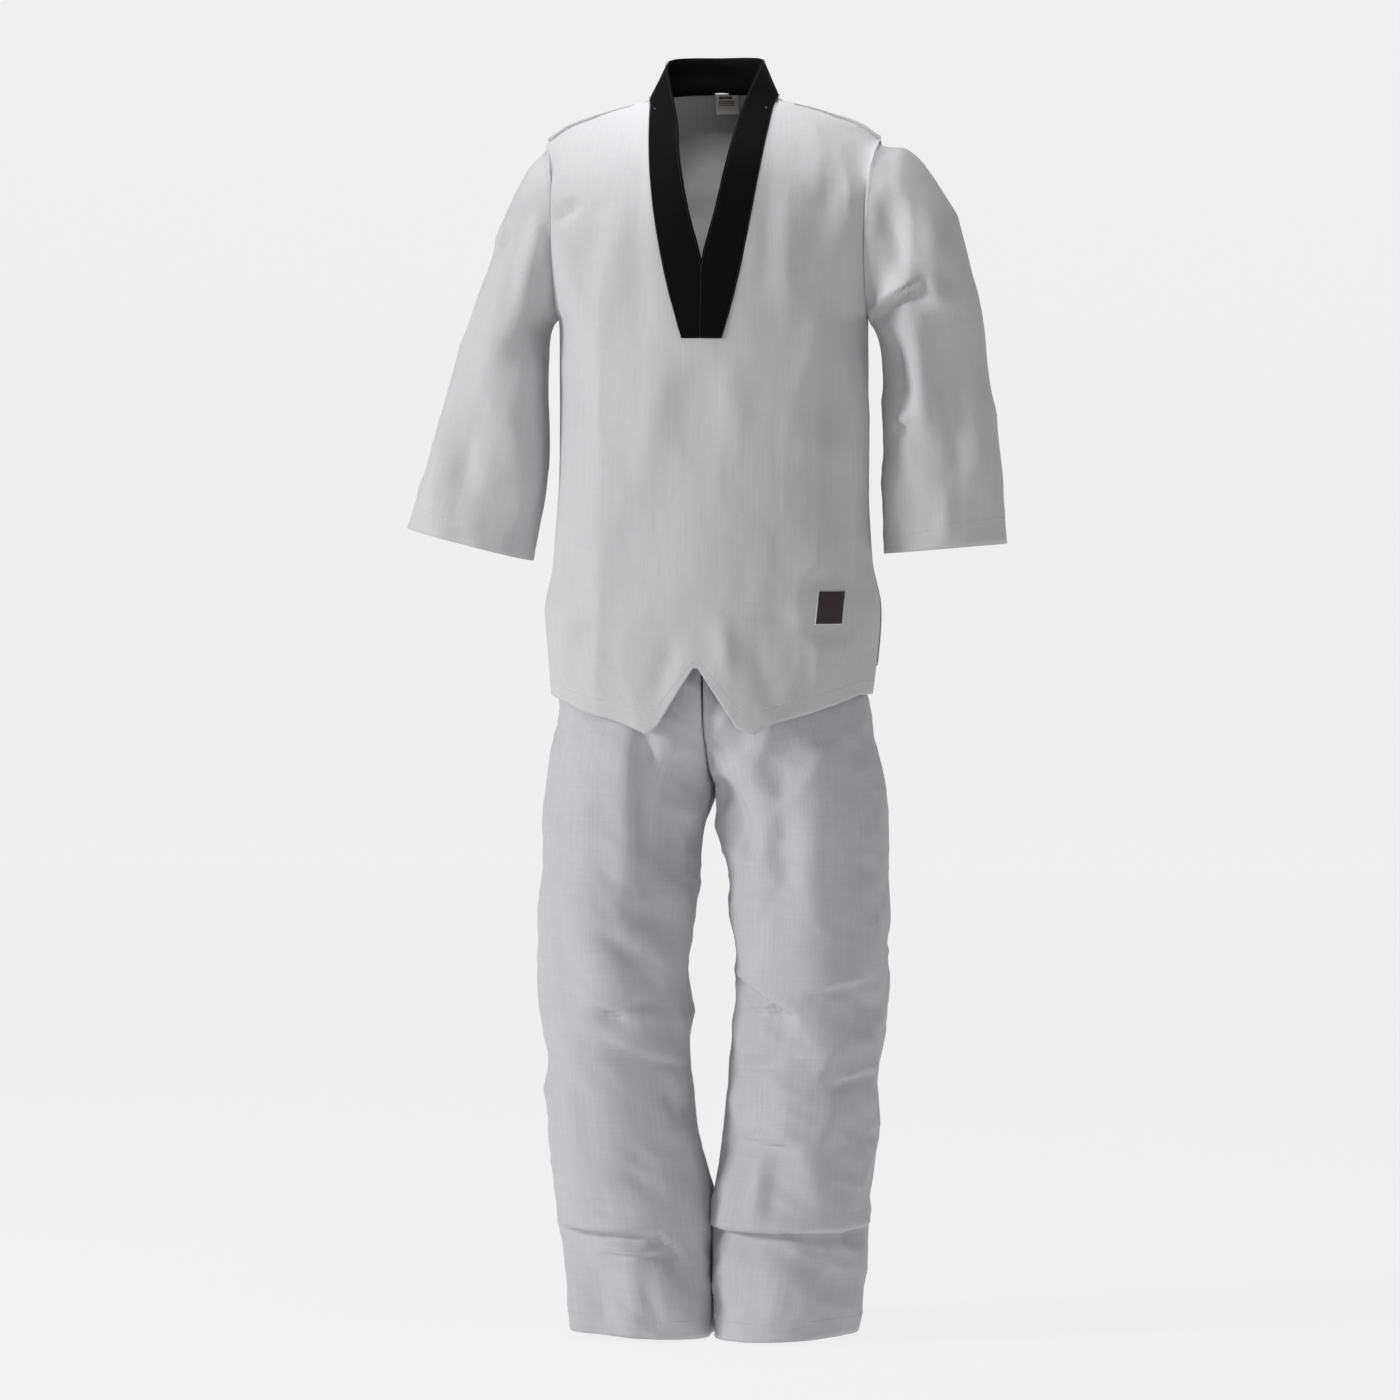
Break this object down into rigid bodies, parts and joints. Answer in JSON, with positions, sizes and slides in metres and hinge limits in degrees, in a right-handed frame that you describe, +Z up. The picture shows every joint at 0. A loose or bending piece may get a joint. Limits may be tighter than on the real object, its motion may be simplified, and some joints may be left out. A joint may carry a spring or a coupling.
{
  "type": "martial arts uniform",
  "caption": "White cotton martial arts uniform shaped as worn: V-neck pullover jacket with a black collar band, side vents and wide sleeves, over loose white trousers.",
  "frame": {"origin": "middle of the neck opening, level with the points where the shoulder seams meet the collar", "axes": "+Z up along the wearer, +X to the wearer's left, -Y to the wearer's front"},
  "size_m": [0.735, 0.2877, 1.5625],
  "materials": {
    "jacket_canvas": "matte woven cotton canvas",
    "trouser_canvas": "matte woven cotton canvas",
    "collar_cotton": "matte black woven cotton",
    "collar_core": "stiff unbleached interlining",
    "label_tape": "satin woven tape",
    "woven_patch": "close woven damask",
    "elastic": "ribbed knitted elastic"
  },
  "bodies": {
    "jacket": {"jacket_front_panel": "jacket_canvas", "jacket_back_panel": "jacket_canvas", "back_neck_lining": "jacket_canvas", "collar_band_left": "collar_cotton", "collar_band_right": "collar_cotton", "collar_band_back": "collar_cotton", "collar_core_left": "collar_core", "collar_core_right": "collar_core", "collar_core_back": "collar_core", "size_label": "label_tape", "hem_patch": "woven_patch"},
    "front_tail": {"front_tail": "jacket_canvas", "front_vent_facing_left": "jacket_canvas", "front_vent_facing_right": "jacket_canvas", "front_hem_facing_left": "jacket_canvas", "front_hem_facing_right": "jacket_canvas"},
    "back_tail": {"back_tail": "jacket_canvas", "back_vent_facing_left": "jacket_canvas", "back_vent_facing_right": "jacket_canvas", "back_hem_facing": "jacket_canvas"},
    "left_sleeve": {"left_sleeve": "jacket_canvas", "left_cuff_facing": "jacket_canvas"},
    "right_sleeve": {"right_sleeve": "jacket_canvas", "right_cuff_facing": "jacket_canvas"},
    "trousers": {"waistband_outer": "trouser_canvas", "waistband_elastic": "elastic", "waistband_inner": "trouser_canvas", "left_hip_front": "trouser_canvas", "left_hip_back": "trouser_canvas", "right_hip_front": "trouser_canvas", "right_hip_back": "trouser_canvas", "left_hip_fold": "trouser_canvas", "right_hip_fold": "trouser_canvas"},
    "left_leg": {"left_leg_front": "trouser_canvas", "left_leg_back": "trouser_canvas", "left_hem_facing": "trouser_canvas"},
    "right_leg": {"right_leg_front": "trouser_canvas", "right_leg_back": "trouser_canvas", "right_hem_facing": "trouser_canvas"}
  },
  "joints": [
    {"name": "trousers_slide", "type": "slide", "parent": "jacket", "child": "trousers", "axis": [0, 0, -1], "range_m": [0, 0.26]},
    {"name": "left_sleeve_swing", "type": "hinge", "parent": "jacket", "child": "left_sleeve", "pos_m": [0.2046, 0.004, -0.042], "axis": [0, -1, 0], "range_deg": [0, 50]},
    {"name": "right_sleeve_swing", "type": "hinge", "parent": "jacket", "child": "right_sleeve", "pos_m": [-0.2046, 0.004, -0.042], "axis": [0, 1, 0], "range_deg": [0, 50]},
    {"name": "front_tail_swing", "type": "hinge", "parent": "jacket", "child": "front_tail", "pos_m": [0, -0.147, -0.6403], "axis": [-1, 0, 0], "range_deg": [0, 22], "stiffness_Nm_per_rad": 1.5},
    {"name": "back_tail_swing", "type": "hinge", "parent": "jacket", "child": "back_tail", "pos_m": [0, 0.133, -0.6403], "axis": [1, 0, 0], "range_deg": [0, 22], "stiffness_Nm_per_rad": 1.5},
    {"name": "left_leg_swing", "type": "hinge", "parent": "trousers", "child": "left_leg", "pos_m": [0.1, 0.001, -0.835], "axis": [-1, 0, 0], "range_deg": [-20, 40], "deforming": ["left_hip_fold"]},
    {"name": "right_leg_swing", "type": "hinge", "parent": "trousers", "child": "right_leg", "pos_m": [-0.1, 0.001, -0.835], "axis": [-1, 0, 0], "range_deg": [-20, 40], "deforming": ["right_hip_fold"]}
  ]
}
